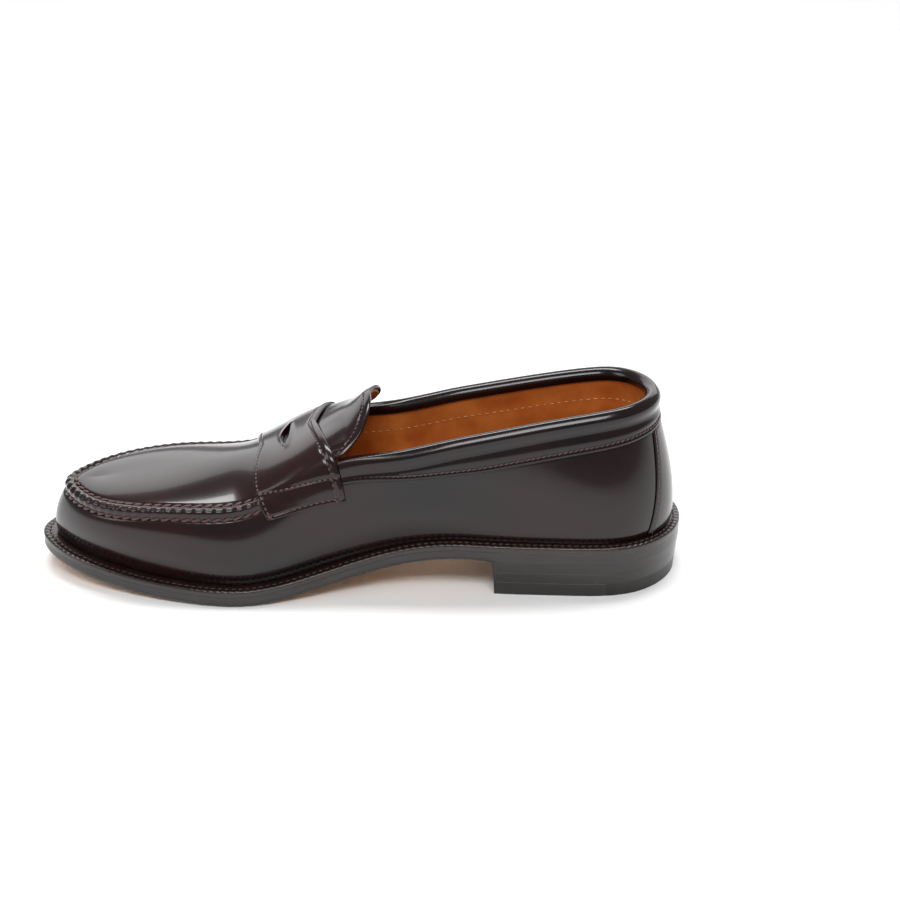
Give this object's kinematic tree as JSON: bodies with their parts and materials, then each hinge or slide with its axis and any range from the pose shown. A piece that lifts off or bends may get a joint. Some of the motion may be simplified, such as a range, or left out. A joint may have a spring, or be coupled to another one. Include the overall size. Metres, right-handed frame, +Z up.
{
  "type": "penny loafer",
  "caption": "Left penny loafer with a hand-sewn apron, a slotted saddle strap, a lifting tongue, a stitched welt and a stacked heel.",
  "frame": {"origin": "middle of the heel's tread, on the floor", "axes": "+X from the heel to the toe, +Y to the outer side of the foot, +Z up"},
  "size_m": [0.2993, 0.1024, 0.0879],
  "materials": {
    "upper_leather": "high polish",
    "sole_edge": "waxed edge",
    "lining_leather": "satin",
    "sock_leather": "satin",
    "sole_leather": "matte",
    "stiffener_board": "matte",
    "cork": "matte",
    "heel_rubber": "matte",
    "steel": "satin",
    "brass_pin": "satin"
  },
  "bodies": {
    "shoe": {"outsole": "sole_leather", "welt": "sole_edge", "insole_rib": "stiffener_board", "cork_filler": "cork", "shank": "steel", "insole": "sole_leather", "sock_lining": "sock_leather", "heel_lift_upper": "sole_edge", "heel_lift_lower": "sole_edge", "top_piece": "sole_edge", "top_piece_insert": "heel_rubber", "vamp": "upper_leather", "apron": "upper_leather", "strap": "upper_leather", "collar": "upper_leather", "back_panel": "upper_leather", "vamp_lining": "lining_leather", "lateral_quarter_lining": "lining_leather", "medial_quarter_lining": "lining_leather", "heel_counter": "stiffener_board", "toe_puff": "stiffener_board", "heel_nail_1": "steel", "heel_nail_2": "steel", "heel_nail_3": "steel", "heel_nail_4": "steel", "heel_nail_5": "steel", "top_piece_nail_1": "brass_pin", "top_piece_nail_2": "brass_pin", "top_piece_nail_3": "brass_pin", "top_piece_nail_4": "brass_pin", "top_piece_nail_5": "brass_pin", "top_piece_nail_6": "brass_pin"},
    "tongue": {"tongue": "upper_leather", "tongue_lining": "lining_leather"}
  },
  "joints": [
    {"name": "tongue_lift", "type": "hinge", "parent": "shoe", "child": "tongue", "pos_m": [0.1238, 0, 0.0724], "axis": [0, 1, 0], "range_deg": [0, 25], "stiffness_Nm_per_rad": 0.15}
  ]
}
